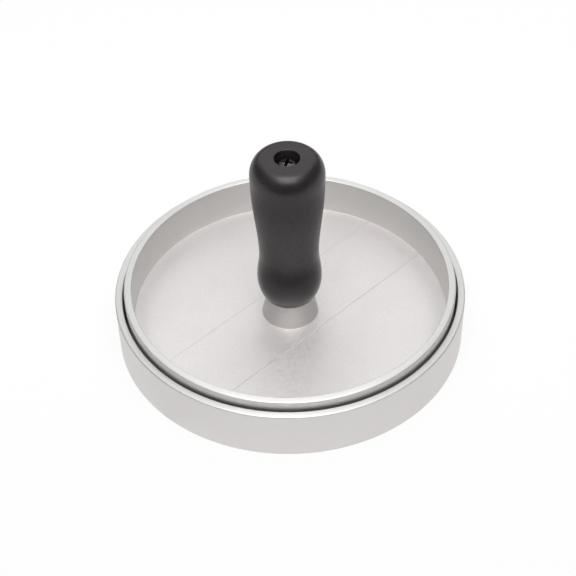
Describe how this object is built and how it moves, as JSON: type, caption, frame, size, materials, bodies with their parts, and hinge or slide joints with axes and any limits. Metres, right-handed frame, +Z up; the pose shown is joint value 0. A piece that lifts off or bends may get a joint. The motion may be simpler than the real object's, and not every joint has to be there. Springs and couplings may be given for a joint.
{
  "type": "burger press",
  "caption": "Round cast aluminium burger press: a shallow ribbed dish and a loose rimmed press plate with a ribbed underside, a tapered boss and an upright black grip held by a long screw.",
  "frame": {"origin": "centre of the dish's underside, on the plane that it stands on", "axes": "+Z up along the axis that the dish, the press, the grip and the screw share; +Y points away from the viewer of the picture, +X to the right"},
  "size_m": [0.1306, 0.1306, 0.0817],
  "materials": {
    "dish_casting": "satin, fine blasted grain, pale silver grey",
    "press_casting": "satin, fine blasted grain, smoother wall and boss",
    "grip_plastic": "satin black moulding with a very fine texture",
    "screw_steel": "black plated, slightly glossy"
  },
  "bodies": {
    "mould": {"mould_tray": "dish_casting"},
    "press": {"press_plate": "press_casting", "handle_grip": "grip_plastic", "handle_screw": "screw_steel"}
  },
  "joints": [
    {"name": "press_lift", "type": "slide", "parent": "mould", "child": "press", "axis": [0, 0, 1], "range_m": [0, 0.06]}
  ]
}
